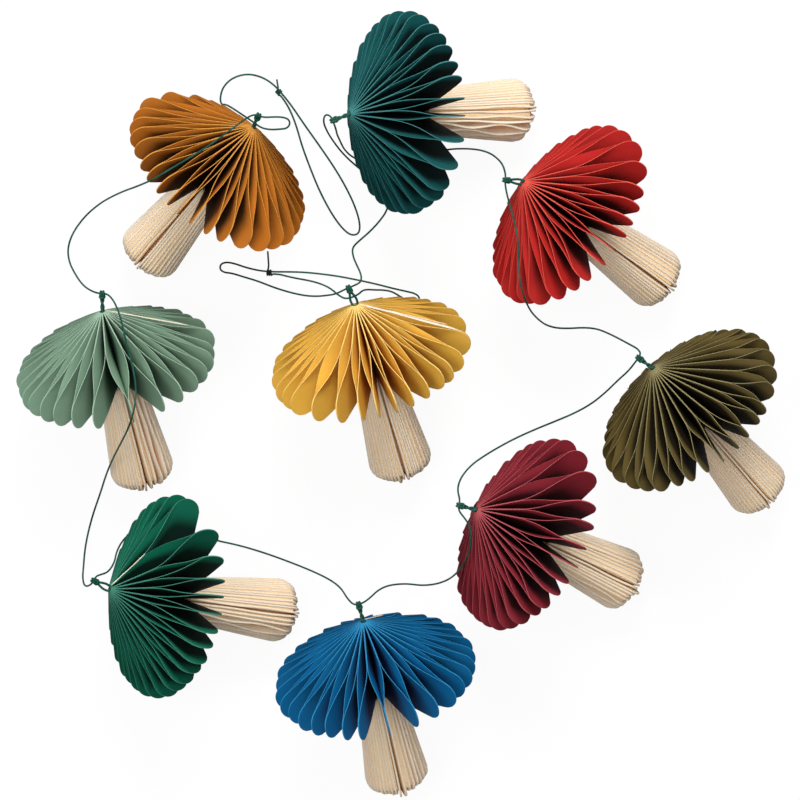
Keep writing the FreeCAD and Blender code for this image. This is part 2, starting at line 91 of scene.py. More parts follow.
def linear(colour):
    """A colour as it looks on screen becomes the value that a shader uses."""
    parts = [c / 255 for c in colour]
    return tuple(p / 12.92 if p <= 0.04045 else ((p + 0.055) / 1.055) ** 2.4 for p in parts) + (1.0,)


def lighter(colour, share):
    """Moves a colour towards white by a share of the way."""
    return tuple(c + (255 - c) * share for c in colour)


def darker(colour, share):
    """Moves a colour towards black by a share of the way."""
    return tuple(c * (1 - share) for c in colour)


# %% [markdown]
# ## Shader maths
#
# A shader is a graph of nodes. Writing it as an expression is easier to read, so this class wraps a
# socket: adding or multiplying two wrapped sockets adds the Math node that does it.

# %% Expressions on sockets
class Value:
    """A number that a node gives. Its operators add Math nodes."""

    def __init__(self, tree, socket):
        self.tree = tree
        self.socket = socket

    def _math(self, operation, *operands):
        return self.tree.node("ShaderNodeMath", {"operation": operation}, dict(enumerate(operands)))[0]

    def __add__(self, other):
        return self._math("ADD", self, other)

    def __radd__(self, other):
        return self._math("ADD", other, self)

    def __sub__(self, other):
        return self._math("SUBTRACT", self, other)

    def __rsub__(self, other):
        return self._math("SUBTRACT", other, self)

    def __mul__(self, other):
        return self._math("MULTIPLY", self, other)

    __rmul__ = __mul__

    def ramp(self, start, end):
        """Goes smoothly from 0 at start to 1 at end."""
        settings = {"interpolation_type": "SMOOTHSTEP"}
        inputs = {"Value": self, "From Min": start, "From Max": end}
        return self.tree.node("ShaderNodeMapRange", settings, inputs)[0]


class Finish:
    """A material whose nodes are added by name."""

    def __init__(self, name):
        self.material = bpy.data.materials.new(name)
        self.material.use_nodes = True
        self.nodes = self.material.node_tree.nodes
        self.links = self.material.node_tree.links
        self.shader = self.nodes["Principled BSDF"]
        self.output = self.nodes["Material Output"]

    def node(self, kind, settings=None, inputs=None):
        """Adds a node and returns its outputs, wrapped."""
        node = self.nodes.new(kind)
        for key, value in (settings or {}).items():
            setattr(node, key, value)
        for key, value in (inputs or {}).items():
            self.give(node.inputs[key], value)
        return [Value(self, socket) for socket in node.outputs if socket.enabled]

    def give(self, socket, value):
        """Links a wrapped socket, or writes down a plain number or colour."""
        if isinstance(value, Value):
            self.links.new(value.socket, socket)
        else:
            socket.default_value = value

    def set(self, **sockets):
        """Sets sockets of the main shader, whose names are written with _ for a space."""
        for key, value in sockets.items():
            self.give(self.shader.inputs[key.replace("_", " ")], value)

    def place(self):
        """The place in the piece: Object is the fourth output of Texture Coordinate."""
        return self.node("ShaderNodeTexCoord")[3]

    def attribute(self, name):
        """A number stored on the points: Factor is the third output of Attribute."""
        return self.node("ShaderNodeAttribute", {"attribute_name": name})[2]

    def noise(self, scale, detail=2.0, place=None, roughness=0.5):
        """Soft random lumps. The scale is about how many of them lie side by side in a metre."""
        inputs = {"Vector": place or self.place(), "Scale": scale}
        inputs |= {"Detail": detail, "Roughness": roughness}
        return self.node("ShaderNodeTexNoise", None, inputs)[0]

    def blend(self, share, first, second):
        """A colour between two others."""
        inputs = {"Factor": share, "A": first, "B": second}
        node = self.nodes.new("ShaderNodeMix")
        node.data_type = "RGBA"
        for key, value in inputs.items():
            socket = next(s for s in node.inputs if s.name == key and s.enabled)
            self.give(socket, value)
        return Value(self, next(s for s in node.outputs if s.enabled))

    def bump(self, height, distance):
        return self.node("ShaderNodeBump", None, {"Height": height, "Distance": distance})[0]

    def mix_shaders(self, share, second):
        """The main shader becomes a mix of itself and a second one, which has the given share."""
        own = Value(self, self.shader.outputs["BSDF"])
        mixed = self.node("ShaderNodeMixShader", None, {0: share, 1: own, 2: second})[0]
        self.give(self.output.inputs["Surface"], mixed)


# %% [markdown]
# ## Paper
#
# The sheets are light uncoated paper. Its colour is not quite even: fibres make fine lighter and
# darker flecks, the dye lies a little deeper in places, and handling leaves soft creases. The cut edge
# shows the paler core of the sheet, so it has a finish of its own. Light also comes through a thin
# sheet, so a Translucent shader passes a part of it on to the other side. Two numbers are stored on
# the points of every sheet: `tone`, which differs from sheet to sheet, and `depth`, how far the point
# lies inside its gap, which in a cap is counted longer where the gap is narrow. The face changes to
# its painted shade colour over the first millimetres of that depth, which paints the shade inside the
# gap, and `REACH` says how many. `GLOW` is the share of light that passes through, which is larger
# for the pale papers.

# %% Paper finishes
FIBRES = 2600.0
FUR = 1400.0
CREASES = 150.0
CLOUDS = 45.0
OPEN_DEPTH = 1.0 * MM
PAPER_RELIEF = 0.06 * MM
FUR_RELIEF = 0.012 * MM


def paper(name, face, shade_colour, glow, through, reach, crease=1.0):
    """The face of a sheet. glow is the share of light that passes through it, in the colour through."""
    finish = Finish(name)
    place = finish.place()
    fibres = finish.noise(FIBRES, 3.0, place, 0.7)
    cloud = finish.noise(CLOUDS, 2.0, place)
    tone = finish.attribute("tone")
    # Painted shade: the face darkens to its shade colour the farther it lies inside its gap.
    inside = finish.attribute("depth").ramp(OPEN_DEPTH, reach)
    look = finish.blend(cloud.ramp(0.3, 0.7) * 0.5, linear(face), linear(darker(face, 0.10)))
    look = finish.blend(tone * 0.30, look, linear(lighter(face, 0.10)))
    look = finish.blend(fibres.ramp(0.45, 0.8) * 0.25, look, linear(lighter(face, 0.12)))
    look = finish.blend(inside * 0.9, look, linear(shade_colour))
    creases = finish.noise(CREASES, 3.0, place, 0.6)
    relief = finish.bump(fibres * 0.5 + creases * (2.5 * crease), PAPER_RELIEF)
    finish.set(Base_Color=look, Roughness=0.82, Specular_IOR_Level=0.12, Normal=relief)
    shine = finish.node("ShaderNodeBsdfTranslucent", None, {"Color": linear(through)})[0]
    finish.mix_shaders(glow, shine)
    return finish.material


def cut_edge(name, colour):
    """The cut edge of a sheet, paler than its face and a little furry."""
    finish = Finish(name)
    fur = finish.noise(FUR, 2.0)
    look = finish.blend(finish.attribute("tone") * 0.5, linear(colour), linear(darker(colour, 0.12)))
    look = finish.blend(fur.ramp(0.3, 0.7) * 0.5, look, linear(darker(colour, 0.16)))
    relief = finish.bump(fur, FUR_RELIEF)
    finish.set(Base_Color=look, Roughness=0.9, Specular_IOR_Level=0.2, Normal=relief)
    return finish.material


# %% One pair of finishes for each paper
GLOW = {"yellow": 0.16, "sage": 0.10, "ochre": 0.06, "red": 0.06}
USUAL_GLOW = 0.02
CREAM_GLOW = 0.14
# REACH: over how many millimetres the painted shade comes in.
REACH = {"teal": 4, "olive": 4.2, "dark_green": 3.8, "burgundy": 5.5, "ochre": 7, "red": 9.5, "blue": 14}
USUAL_REACH = 24
CREAM_REACH = 6
CREASED = {"yellow": 2.0}
FACES, EDGES = {}, {}
for name, (face, edge, shade_colour) in PAPERS.items():
    glow = GLOW.get(name, USUAL_GLOW)
    reach = REACH.get(name, USUAL_REACH) * MM
    crease = CREASED.get(name, 1.0)
    FACES[name] = paper(f"{name}_paper", face, shade_colour, glow, lighter(face, 0.1), reach, crease)
    EDGES[name] = cut_edge(f"{name}_cut_edge", edge)
CREAM_FACE = paper("cream_paper", CREAM, CREAM_PAINTED_SHADE, CREAM_GLOW, CREAM_THROUGH, CREAM_REACH * MM)
CREAM_EDGE = cut_edge("cream_cut_edge", CREAM_CUT)
# The core's finish carries painted shade for the bottom of the stem's gaps.
CORE_PAPER = cut_edge("stem_core_painted_shade", CORE_SHADE_CREAM)
TAPE = cut_edge("seam_tape", TAPE_CREAM)
print(len(FACES) + 1, "papers")

# %% [markdown]
# ## Where each mushroom lies
#
# The model gives every node in its place, so the way a mushroom lies is read from it: the middle of
# the cap and the middle of the stem are both on the axis. The flat underside of the cap is the
# farthest that the cap reaches along that axis, and the tip is one cap's depth before it.

# %% Read the axes from the model
CAP_DEPTH = 45.4 * MM


def middle_and_points(node):
    """The middle of a node's surface, and its points."""
    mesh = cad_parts[node].data
    points = np.empty(len(mesh.vertices) * 3)
    mesh.vertices.foreach_get("co", points)
    points = points.reshape(-1, 3)
    areas = np.empty(len(mesh.polygons))
    mesh.polygons.foreach_get("area", areas)
    middles = np.empty(len(mesh.polygons) * 3)
    mesh.polygons.foreach_get("center", middles)
    return (middles.reshape(-1, 3) * areas[:, None]).sum(0) / areas.sum(), points


class Lying:
    """The place of one mushroom: its tip, its axis towards the foot, the upper side and the left."""

    def __init__(self, name):
        cap_middle, cap_points = middle_and_points(f"{name}_cap")
        stem_middle, stem_points = middle_and_points(f"{name}_stem")
        self.axis = (stem_middle - cap_middle) / np.linalg.norm(stem_middle - cap_middle)
        reach = (cap_points - cap_middle) @ self.axis
        self.tip = cap_middle + self.axis * (reach.max() - CAP_DEPTH)
        self.foot = ((stem_points - self.tip) @ self.axis).max()
        up = UP - self.axis * self.axis[2]
        self.up = up / np.linalg.norm(up)
        self.left = np.cross(self.up, self.axis)

    def place(self, radius, angle, depth):
        """Points from their distance to the axis, angle round it and depth below the tip."""
        radius, angle, depth = (np.asarray(a, float)[..., None] for a in (radius, angle, depth))
        out = radius * (np.cos(angle) * self.up + np.sin(angle) * self.left)
        return self.tip + out + depth * self.axis


MUSHROOMS = {name: Lying(name) for name in PAPERS}
for name, lying in MUSHROOMS.items():
    print(name, "tip", np.round(lying.tip / MM, 1), "foot", round(lying.foot / MM, 1))

# %% [markdown]
# ## The shape of a sheet
#
# Every sheet of a cap is cut to half of the cap's outline: a straight slope from the tip, a round
# end and a flat underside. A sheet of the stem widens to a rounded foot. The outline of a cap is given
# as its upper and lower edge at a distance from the axis, and that of a stem as the distance of its
# outer edge at a depth. Each sheet starts as a flat grid. An Array modifier, rather than a loop of
# copies, repeats it in place, because the stack is then one mesh whose points one formula can move.
# A Solidify modifier gives the thickness. A thick sheet also gets a Bevel, and the smoothing angle then
# has to be wider than the 45 degrees that the bevel leaves at each side of an edge.

# %% Outlines
CAP_RADIUS = 56.8 * MM
CAP_ROUND = 8.4 * MM
CAP_DROP = 37 * MM
CAP_REACH = CAP_RADIUS - CAP_ROUND
SLOPE = math.atan2(CAP_DROP, CAP_REACH) - math.asin(CAP_ROUND / math.hypot(CAP_DROP, CAP_REACH))
SLOPE_END = CAP_REACH + CAP_ROUND * math.sin(SLOPE)


def cap_outline(radius):
    """Upper and lower edge of a cap sheet, as depths below the tip."""
    half = np.sqrt(np.clip(CAP_ROUND**2 - (radius - CAP_REACH) ** 2, 0, None))
    upper = np.where(radius < SLOPE_END, radius * math.tan(SLOPE), CAP_DROP - half)
    lower = np.where(radius < CAP_REACH, CAP_DEPTH, CAP_DROP + half)
    return upper, lower


def stem_outline(depth, foot, top, wide, corner):
    """Outer edge of a stem sheet, as a distance to the axis."""
    share = (depth - CAP_DEPTH) / (foot - CAP_DEPTH)
    side = top + (wide - top) * share
    below = np.clip(depth - (foot - corner), 0, corner)
    return side - corner + np.sqrt(np.clip(corner**2 - below**2, 0, None))


print("slope of a cap, degrees:", round(math.degrees(SLOPE), 1))


# %% Sheets and stacks
SHARP_EDGE = math.radians(60)
SMOOTH_PLAIN = math.radians(35)
SMOOTH_ROUNDED = math.radians(52)


def flat_sheet(name, columns, rows):
    """A flat grid of columns by rows, as one sheet laid out."""
    bpy.ops.object.select_all(action="DESELECT")
    bpy.ops.mesh.primitive_grid_add(x_subdivisions=columns, y_subdivisions=rows, size=1)
    sheet = bpy.context.object
    sheet.name = name
    return sheet


def modify(sheet, kind, **settings):
    """Adds a modifier to the active sheet, sets it up and applies it."""
    bpy.ops.object.modifier_add(type=kind)
    modifier = sheet.modifiers[-1]
    for key, value in settings.items():
        setattr(modifier, key, value)
    bpy.ops.object.modifier_apply(modifier=modifier.name)


def stack(sheet, count):
    """Repeats the sheet, and returns each copy's points across and down, both from 0 to 1."""
    no_step = {"use_relative_offset": False, "constant_offset_displace": (0, 0, 0)}
    modify(sheet, "ARRAY", count=count, use_constant_offset=True, **no_step)
    points = np.empty(len(sheet.data.vertices) * 3)
    sheet.data.vertices.foreach_get("co", points)
    points = points.reshape(count, -1, 3) + 0.5
    return points[:, :, 0], 1 - points[:, :, 1]


def shape(sheet, points, lowest=0.0):
    """Moves the points of a mesh to their places, none of them lower than a height above the table."""
    points[..., 2] = np.maximum(points[..., 2], lowest)
    sheet.data.vertices.foreach_set("co", points.reshape(-1))


def thicken(sheet, face, edge, thickness, rounding=0.0):
    """Gives the sheets their thickness, with a finish of its own on the cut edges.

    The two materials are slots 0 and 1, and the wall's rim and the rounding take slot 1.
    """
    sheet.data.materials.clear()
    sheet.data.materials.append(face)
    sheet.data.materials.append(edge)
    modify(sheet, "SOLIDIFY", thickness=thickness, offset=0, material_offset_rim=1)
    if rounding:
        sharp = {"limit_method": "ANGLE", "angle_limit": SHARP_EDGE}
        modify(sheet, "BEVEL", width=rounding, segments=1, material=1, **sharp)
    bpy.ops.object.shade_smooth_by_angle(angle=SMOOTH_ROUNDED if rounding else SMOOTH_PLAIN)


def note(sheet, name, values):
    """Stores a number on each point of a mesh."""
    layer = sheet.data.attributes.new(name, "FLOAT", "POINT")
    layer.data.foreach_set("value", np.asarray(values, np.float32).ravel())


# %% [markdown]
# ## Opening a fan unevenly
#
# A fan of paper never opens evenly. `fan` shares a full turn between the pleats, starting at the seam,
# with wider gaps where the mushroom was pulled open. `FANS` gives those places for every cap: the
# middle and the half width of the open stretch, in degrees, and how much wider the gaps are there.
# Zero degrees is the side that faces up, and the angle grows to the left of somebody who looks from
# the tip to the foot. A cap also has its seam's angle, how far the seam has split open at the rim,
# and the depths below the tip where its sheets part and where they meet their other neighbours.
# `STEM_FANS` gives the places for the stems, how fully a stem's sheets cross over from one neighbour
# to the other, and how many millimetres they stand out longer at the foot.

# %% Fan angles
FANS = {
    "teal": {"seam": 183, "openings": [(-30, 14, 1.0)]},
    "red": {"openings": [(70, 24, 1.3), (-48, 18, 0.5)]},
    "olive": {"openings": [(75, 25, 0.4), (-75, 25, 0.3)], "fork": 22, "meet": 33.5},
    "burgundy": {"openings": [(62, 26, 1.4), (12, 10, 0.4)]},
    "yellow": {"seam": 79, "openings": [(-38, 13, 1.0), (80, 20, 0.3)]},
    "blue": {"seam": 158, "openings": [(12, 24, 0.5)]},
    "dark_green": {"seam": 63, "split": 17, "openings": [(60, 26, 2.2)]},
    "sage": {"seam": 97, "openings": [(4, 32, 1.0)]},
    "ochre": {"openings": [(-108, 20, 1.8), (60, 22, 0.7)]},
}
STEM_FANS = {
    "teal": {
        "openings": [(-1, 4, 1.5), (-48, 26, 3.2), (66, 40, 0.6)],
        "crossing": 1.0,
        "longer": 2.5,
    },
    "red": {"openings": [(-4, 5, 2.0), (55, 40, 1.2), (-66, 40, 0.9)], "longer": 2.0},
    "olive": {"openings": [(-3, 5, 2.0), (66, 40, 1.0), (-66, 40, 1.0)]},
    "burgundy": {"openings": [(-2, 5, 2.0), (50, 40, 1.2), (-60, 34, 1.5)], "crossing": 0.7},
    "yellow": {"openings": [(2, 6, 2.2), (66, 40, 0.9), (-66, 40, 0.9)]},
    "blue": {"openings": [(2, 5, 2.0), (48, 34, 1.5), (-66, 40, 0.8)], "longer": -2.0},
    "dark_green": {
        "openings": [(-5, 4, 2.0), (-50, 30, 2.0), (66, 40, 0.6)],
        "crossing": 0.7,
        "longer": 4.0,
    },
    "sage": {"openings": [(4, 5, 2.0), (42, 26, 2.6), (-66, 40, 0.9)]},
    "ochre": {"openings": [(-2, 7, 2.6), (66, 40, 1.2), (-66, 40, 1.0)]},
}
QUARTER_DEGREES = 4 * 360
UNEVEN = 0.14  # how far a pleat strays from its even share, as a part of that share


def gap_at(angle, openings):
    """How much wider than the narrowest gap the fan is at an angle in degrees."""
    gap = np.ones_like(angle)
    for middle, width, extra in openings:
        away = (angle - middle + 180) % 360 - 180
        gap += extra * np.exp(-((away / width) ** 2))
    return gap


def fan(count, seam, openings, rng):
    """The angles of the pleats round the axis, from the seam round to it again."""
    fine = np.radians(np.linspace(seam, seam + 360, QUARTER_DEGREES + 1))
    gap = gap_at(np.degrees(fine), openings)
    passed = np.concatenate([[0], np.cumsum(1 / gap[1:])])
    shares = np.arange(count + 1.0)
    shares[1:-1] += rng.uniform(-UNEVEN, UNEVEN, count - 1)
    return np.interp(shares / count * passed[-1], passed, fine)


# %% [markdown]
# ## Sheets in pairs
#
# The sheets of a fan are numbered round the axis, two to a pleat. In one band of glue a sheet lies on
# its partner in the same pleat, and in the next band it meets the sheet of the neighbouring pleat,
# halfway between the two. `Pairs` works out both angles for every sheet. At the seam the two cover
# sheets, numbers 0 and 1, are glued face to face all over, or they have split apart by some degrees.
# Number 3 and the last but one meet them there.

# %% Both angles of every sheet
class Pairs:
    """The angles of the sheets of one fan, where they lie on their partners and where they meet."""

    def __init__(self, count, seam, openings, split, rng):
        ridges = fan(count, seam, openings, rng)
        number = np.arange(2 * count)
        forward = number % 2 == 0
        self.pleat = number // 2
        self.own = ridges[self.pleat]
        before = np.where(self.pleat == 0, ridges[-2] - 2 * math.pi, ridges[self.pleat - 1])
        other = np.where(forward, ridges[self.pleat + 1], before)
        self.meeting = (self.own + other) / 2
        self.gap = np.abs(other - self.own)
        self.side = np.where(forward, 1.0, -1.0)
        self.petal = np.where(forward, self.pleat, (self.pleat - 1) % count)
        opened = math.radians(split)
        self.meeting[[0, 3]] = self.own[0] + opened
        self.meeting[1] = self.own[0] - opened
        self.meeting[-2] = self.own[0] + 2 * math.pi - opened

    def turned(self, part, half_pair):
        """The angle of every point: part is 0 in the own pleat's band and 1 where neighbours meet."""
        angle = self.own[:, None] + (self.meeting - self.own)[:, None] * part
        return angle + self.side[:, None] * half_pair * (1 - 2 * part)


# %% [markdown]
# ## A honeycomb cap
#
# The glue runs in bands across the stack. In the first band, near the tip, each sheet is glued to its
# partner. In the next band, at the rim, it is glued to the neighbour on its other side. Opened up, the
# sheets therefore run in pairs from the tip, part in a fork, and meet their neighbours before the
# round end. The stack's points are turned round the axis, each by its sheet's own angle. Bending or
# twisting a modelled sheet would not give the forks, which come from where the glue is. No two sheets
# are quite alike: the forks lie at slightly different depths, and each petal sways and curls a little.

# %% Caps
SHEET = 0.30 * MM
ROOT = 1.6 * MM
COLUMNS = 22
ROWS = 7
GLUE = 0.03 * MM
SLOPE_SHARE = 0.72  # of the columns, and the rest go round the end to just short of its widest point
LAST_TURN = math.radians(86)
FORK_SOFTNESS = 0.55  # how softly a sheet leaves its partner and meets its neighbour
FORK_VARIES = 0.9 * MM
MEET_VARIES = 0.8 * MM
SWAY = 0.016  # radians, at the outer edge
SHRINK = 0.006
SHRINK_VARIES = 0.009
# The next two numbers place the painted shade between the sheets of a cap.
USUAL_GAP = 8 * MM  # the depth between two sheets is counted as it is in a gap this wide
RIM_SHARE = 0.45  # and from the rim inwards it grows at this share of the way


def eased(share, softness):
    """Goes from 0 to 1, straight at softness 0 and with soft ends at softness 1."""
    return (1 - softness) * share + softness * share * share * (3 - 2 * share)


def cap_columns(across):
    """Spreads a sheet's columns: even steps on the slope, then even turns round its end."""
    straight = ROOT + (SLOPE_END - ROOT) * across / SLOPE_SHARE
    turn = SLOPE + (LAST_TURN - SLOPE) * (across - SLOPE_SHARE) / (1 - SLOPE_SHARE)
    return np.where(across < SLOPE_SHARE, straight, CAP_REACH + CAP_ROUND * np.sin(turn))


def make_cap(name, pleats, seed, seam=180, split=0.45, openings=(), fork=13.5, meet=29):
    """The stack of one cap, fanned open. Angles are in degrees, fork and meet in millimetres."""
    lying = MUSHROOMS[name]
    rng = np.random.default_rng(seed)
    pairs = Pairs(pleats, seam, openings, split, rng)
    sheet = flat_sheet(f"{name}_cap_sheets", COLUMNS, ROWS)
    across, down = stack(sheet, 2 * pleats)
    radius = cap_columns(across)
    upper, lower = cap_outline(radius)
    depth = upper + (lower - upper) * down

    fork_at = (fork * MM + rng.normal(0, FORK_VARIES, pleats)[pairs.pleat])[:, None]
    meet_at = (meet * MM + rng.normal(0, MEET_VARIES, pleats)[pairs.petal])[:, None]
    part = eased(np.clip((depth - fork_at) / (meet_at - fork_at), 0, 1), FORK_SOFTNESS)
    half_pair = (SHEET / 2 + GLUE) / np.maximum(radius, ROOT)
    angle = pairs.turned(part, half_pair)
    rim = (radius / CAP_RADIUS) ** 3
    sway = rng.normal(0, SWAY, pleats)
    curl = rng.normal(0, SWAY, 2 * pleats)
    sway[[0, -1]] = 0
    curl[[0, 1]] = 0
    angle = angle + sway[pairs.petal][:, None] * rim * part
    angle = angle + curl[:, None] * np.sin(math.pi * part) * radius / CAP_RADIUS

    grow = 1 + rng.normal(-SHRINK, SHRINK_VARIES, pleats)[pairs.petal][:, None] * rim
    shape(sheet, lying.place(radius * np.minimum(grow, 1.0), angle, depth), 0.5 * SHEET)
    note(sheet, "tone", np.broadcast_to(rng.random(2 * pleats)[:, None], depth.shape))
    # Painted shade: how far a point lies inside its gap sets how much shade is painted on its face.
    inside = np.minimum((depth - upper) * math.cos(SLOPE), (CAP_RADIUS - radius) * RIM_SHARE)
    note(sheet, "depth", inside * USUAL_GAP / (pairs.gap[:, None] * np.maximum(radius, ROOT)))
    thicken(sheet, FACES[name], EDGES[name], SHEET)
    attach(sheet, "root")
    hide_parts(f"{name}_cap")
    return len(sheet.data.polygons)


# %% [markdown]
# ## A honeycomb stem
#
# The stem is a second, narrower stack of cream paper, glued in bands across its whole length, so its
# cells close and open again every couple of centimetres. Here a few thin sheets lie together as one
# rib. One thicker sheet with a rounded edge stands for such a rib, because many thin sheets that touch
# only show as speckles. The paper glows, and light that has come through it turns warm. On its upper
# side the stem has a slit, and beside it a few loose sheets stand out past the foot. How far a sheet
# stands out is counted in millimetres.

# %% Stems
STEM_SHEET = 1.1 * MM
STEM_ROUNDING = 0.3 * MM
STEM_ROOT = 1.2 * MM
STEM_TOP = 12 * MM
STEM_FOOT = 18.3 * MM
STEM_CORNER = 6.7 * MM
STEM_GAP = 0.2 * MM  # the sheets stop this far before the foot's own plane
STEM_COLUMNS = 3
STEM_ROWS = 24
FOOT_CROWDING = 1.5  # more rows near the foot, where the outline turns
SEAM_BELOW = 180
STEM_SPLIT = 0.9
BAND = 18 * MM
BAND_MIDDLE = 54 * MM
BAND_SOFTNESS = 0.6
GLUED = 0.06  # the part of a band that is quite closed, at each end of its wave
OPENS_AT = 0.9  # a gap this many times as wide as an even one starts to open
OPENS_OVER = 1.2
SLIT_WIDTH = 12  # degrees
SLIT_LONGER = 3.0
FOOT_VARIES = 0.4
LOOSE_FROM = 0.6  # loose sheets stand out over the last part of the way to the foot


def from_top(angle):
    """The angle in degrees away from the upper side, from -180 to 180."""
    return (np.degrees(angle) + 180) % 360 - 180


def make_stem(name, pleats, seed, openings, crossing=0.3, longer=0.0):
    """The stack of one stem. Where its gaps are narrow, the ribs run straight, side by side."""
    lying = MUSHROOMS[name]
    rng = np.random.default_rng(seed)
    pairs = Pairs(pleats, SEAM_BELOW, openings, STEM_SPLIT, rng)
    sheet = flat_sheet(f"{name}_stem_sheets", STEM_COLUMNS, STEM_ROWS)
    across, down = stack(sheet, 2 * pleats)
    down = 1 - (1 - down) ** FOOT_CROWDING
    foot = lying.foot - STEM_GAP
    depth = CAP_DEPTH + (foot - CAP_DEPTH) * down
    outer = stem_outline(depth, foot, STEM_TOP, STEM_FOOT, STEM_CORNER)
    radius = STEM_ROOT + (outer - STEM_ROOT) * across

    wave = np.abs(((depth - BAND_MIDDLE) / BAND) % 2 - 1)
    part = eased(1 - np.clip((wave - GLUED) / (1 - 2 * GLUED), 0, 1), BAND_SOFTNESS)
    even = math.pi / pleats  # half a pleat's turn, if all gaps were alike
    opened = np.clip((np.abs(pairs.meeting - pairs.own) / even - OPENS_AT) / OPENS_OVER, 0, 1)
    part = 0.5 + (part - 0.5) * opened[:, None] * crossing
    half_pair = (STEM_SHEET / 2 + GLUE) / np.maximum(radius, STEM_ROOT)
    angle = pairs.turned(part, half_pair)
    sway = rng.normal(0, SWAY, pleats)
    angle = angle + sway[pairs.petal][:, None] * across

    near_slit = np.exp(-((from_top(pairs.own) / SLIT_WIDTH) ** 2))
    loose = rng.normal(0, FOOT_VARIES, 2 * pleats) + longer
    loose = loose + near_slit * rng.uniform(0, SLIT_LONGER, 2 * pleats)
    near_foot = np.clip(down - LOOSE_FROM, 0, 1) / (1 - LOOSE_FROM)
    depth_now = depth + loose[:, None] * MM * near_foot
    shape(sheet, lying.place(radius, angle, depth_now), 0.9 * STEM_SHEET)
    note(sheet, "tone", np.broadcast_to(rng.random(2 * pleats)[:, None], depth.shape))
    # Painted shade: the distance in from the stem's outside sets how much shade is painted on the cream.
    note(sheet, "depth", outer - radius)
    thicken(sheet, CREAM_FACE, CREAM_EDGE, STEM_SHEET, STEM_ROUNDING)
    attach(sheet, "root")
    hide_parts(f"{name}_stem")
    return len(sheet.data.polygons)


# %% [markdown]
# ## The pressed middle of a stem
#
# Towards the axis the stem's sheets are pressed together into one pale mass. A plain core stands for
# it: one flat grid, rolled round the axis. It reaches far out where the sheets stand close, which
# keeps the gaps shallow and bright, and it draws back where the fan is open. Its colour is partly
# painted shade: warmer and darker than the cream, as the shaded bottom of the gaps. Along the grid,
# the first columns go down the core's side and the last ones close its foot.

# %% Stem cores
CORE_COLUMNS = 20
CORE_ROWS = 90
CORE_SHORTER = 1.0
SIDE_SHARE = 0.8
CORE_WIDEST = 0.965
CORE_NARROWEST = 0.4
CORE_IF_CLOSED = 1.02
CORE_DRAWS_BACK = 0.012
CORE_LIFT = 0.5 * MM


def make_core(name, openings, longer=0.0):
    """The solid middle of one stem, between the ribs."""
    lying = MUSHROOMS[name]
    core = flat_sheet(f"{name}_stem_core", CORE_COLUMNS, CORE_ROWS)
    across, down = stack(core, 1)
    foot = lying.foot + (longer - CORE_SHORTER) * MM
    depth = CAP_DEPTH + (foot - CAP_DEPTH) * np.minimum(across / SIDE_SHARE, 1)
    outer = stem_outline(depth, foot, STEM_TOP, STEM_FOOT, STEM_CORNER)
    angle = -2 * math.pi * down
    share = CORE_IF_CLOSED - CORE_DRAWS_BACK * gap_at(np.degrees(angle), openings) ** 3
    share = np.clip(share, CORE_NARROWEST, CORE_WIDEST)
    closing = np.minimum((1 - across) / (1 - SIDE_SHARE), 1)
    shape(core, lying.place(outer * share * closing, angle, depth), CORE_LIFT)
    core.data.materials.append(CORE_PAPER)
    bpy.ops.object.shade_smooth_by_angle(angle=SMOOTH_PLAIN)
    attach(core, "root")


# %% [markdown]
# ## The seam
#
# A stack is opened round until its two cover sheets meet, and they are joined by a cream paper tape.
# On some caps its edge shows as a pale line from the tip along one ridge. It is a narrow strip of
# paper that follows the slope, made from the same flat grid, with wavy edges and narrow ends. `TAPES`
# gives the angle of each strip in degrees, its two ends as distances to the axis and its width, all
# three in millimetres, and its seed.

# %% Seam tapes
TAPE_SHEET = 0.3 * MM
TAPE_LIFT = 0.25 * MM
TAPE_COLUMNS = 40
TAPE_ROWS = 2
TAPE_TAPER = 12  # one end narrows over a twelfth of the length
TAPE_END = 0.15
TAPE_WIDTHS = 9
TAPE_BENDS = 7
TAPE_STRAYS = 0.12
TAPES = [
    ("yellow", "seam_tape", 79, 2.5, 53, 1.5, 61),
    ("yellow", "tape_edge", 82.5, 16, 46, 0.6, 66),
    ("sage", "seam_tape", 97, 2.5, 44, 1.1, 62),
    ("dark_green", "seam_tape", 63, 2.5, 25, 0.6, 63),
    ("blue", "seam_tape", 158, 2.5, 30, 1.6, 64),
    ("teal", "seam_tape", 183, 2.5, 12, 1.2, 65),
]


def make_tape(name, label, seam, first, last, width, seed):
    """A strip along the ridge at the seam, between two distances to the axis in mm."""
    lying = MUSHROOMS[name]
    rng = np.random.default_rng(seed)
    strip = flat_sheet(f"{name}_{label}", TAPE_COLUMNS, TAPE_ROWS)
    across, down = stack(strip, 1)
    radius = (first + (last - first) * across) * MM
    upper = cap_outline(radius)[0]
    widths = rng.uniform(0.55, 1.1, TAPE_WIDTHS)
    bends = rng.normal(0, TAPE_STRAYS, TAPE_BENDS)
    wavy = np.interp(across, np.linspace(0, 1, TAPE_WIDTHS), widths)
    narrow = np.clip(np.minimum(across, 1 - across) * TAPE_TAPER, TAPE_END, 1)
    aside = (down - 0.5) * width * wavy * narrow
    aside = (aside + np.interp(across, np.linspace(0, 1, TAPE_BENDS), bends)) * MM
    shape(strip, lying.place(radius, math.radians(seam) + aside / radius, upper - TAPE_LIFT))
    thicken(strip, TAPE, TAPE, TAPE_SHEET)
    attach(strip, "root")


# %% [markdown]
# ## Nine mushrooms
#
# All caps have 32 pleats, and all stems 27. Each mushroom has seeds of its own, so that its sheets fall
# differently from those of the next one but in the same way each time the notebook runs.

